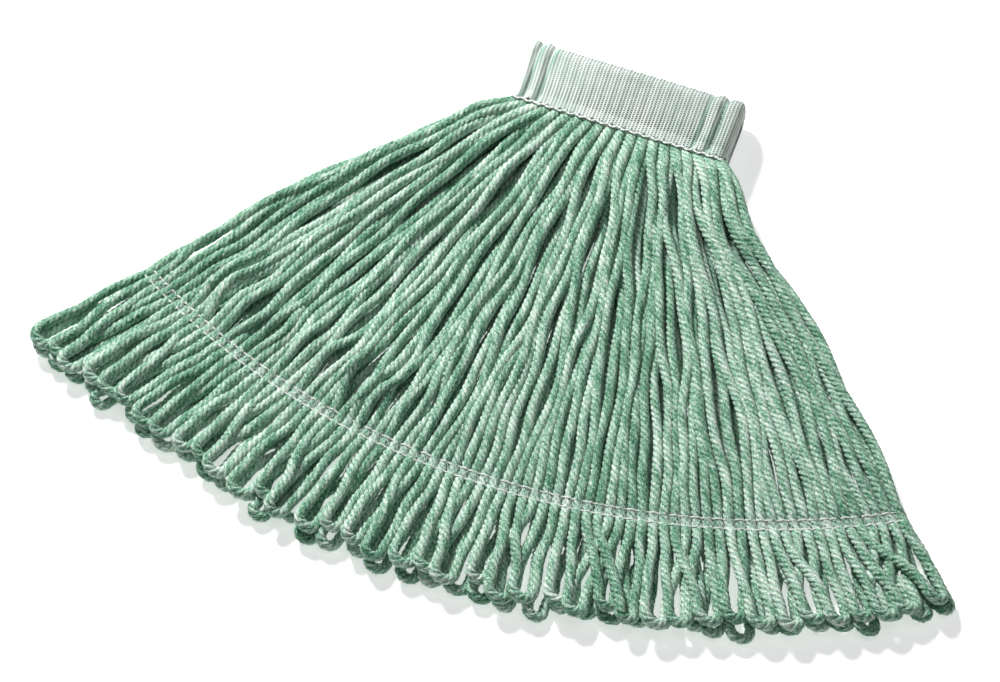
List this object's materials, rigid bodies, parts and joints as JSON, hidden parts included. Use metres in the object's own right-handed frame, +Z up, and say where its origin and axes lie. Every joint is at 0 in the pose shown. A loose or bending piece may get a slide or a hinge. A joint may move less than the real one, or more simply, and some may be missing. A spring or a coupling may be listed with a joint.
{
  "type": "looped-end wet mop head",
  "caption": "Looped-end string mop head lying flat: folded net headband, fanned layers of twisted yarn held by a sewn tailband, and a fringe of yarn loops.",
  "frame": {"origin": "middle of the mop head's outline, on the floor it lies on", "axes": "+X along the headband, +Y from the loops towards the headband's fold, +Z up from the floor"},
  "size_m": [0.615, 0.4228, 0.0307],
  "materials": {
    "yarn": "heathered four-ply twisted yarn, matt, with pale fibres in green",
    "band_net": "open knitted net, matt, off-white",
    "thread": "white sewing thread, slightly bright",
    "tailband": "yarn pressed flat under stitching, with a thin pale net"
  },
  "bodies": {
    "lower_layer": {"lower_band_net": "band_net", "lower_band_yarn": "yarn", "lower_band_lining": "band_net", "lower_fold_net": "band_net", "lower_fold_yarn": "yarn", "lower_fold_lining": "band_net", "lower_seam_stitching": "thread", "lower_yarn_01": "yarn", "lower_yarn_02": "yarn", "lower_yarn_03": "yarn", "lower_yarn_04": "yarn", "lower_yarn_05": "yarn", "lower_yarn_06": "yarn", "lower_yarn_07": "yarn", "lower_yarn_08": "yarn", "lower_loops_01": "yarn", "lower_loops_02": "yarn", "lower_loops_03": "yarn", "lower_loops_04": "yarn", "lower_loops_05": "yarn", "lower_loops_06": "yarn", "lower_loops_07": "yarn", "lower_loops_08": "yarn", "lower_tailband": "tailband", "lower_tail_stitch_inner": "thread", "lower_tail_stitch_outer": "thread"},
    "upper_band": {"upper_band_net": "band_net", "upper_band_yarn": "yarn", "upper_band_lining": "band_net", "upper_fold_net": "band_net", "upper_fold_yarn": "yarn", "upper_fold_lining": "band_net", "upper_seam_stitching": "thread"},
    "upper_skirt": {"upper_yarn_01": "yarn", "upper_yarn_02": "yarn", "upper_yarn_03": "yarn", "upper_yarn_04": "yarn", "upper_yarn_05": "yarn", "upper_yarn_06": "yarn", "upper_yarn_07": "yarn", "upper_yarn_08": "yarn", "upper_loops_01": "yarn", "upper_loops_02": "yarn", "upper_loops_03": "yarn", "upper_loops_04": "yarn", "upper_loops_05": "yarn", "upper_loops_06": "yarn", "upper_loops_07": "yarn", "upper_loops_08": "yarn", "upper_tailband": "tailband", "upper_tail_stitch_inner": "thread", "upper_tail_stitch_outer": "thread"}
  },
  "joints": [
    {"name": "band_fold", "type": "hinge", "parent": "lower_layer", "child": "upper_band", "pos_m": [0, 0.21138, 0.0152], "axis": [-1, 0, 0], "range_deg": [0, 178]},
    {"name": "upper_skirt_swing", "type": "hinge", "parent": "upper_band", "child": "upper_skirt", "pos_m": [0, 0.15428, 0.0314], "axis": [-1, 0, 0], "range_deg": [0, 150]}
  ]
}
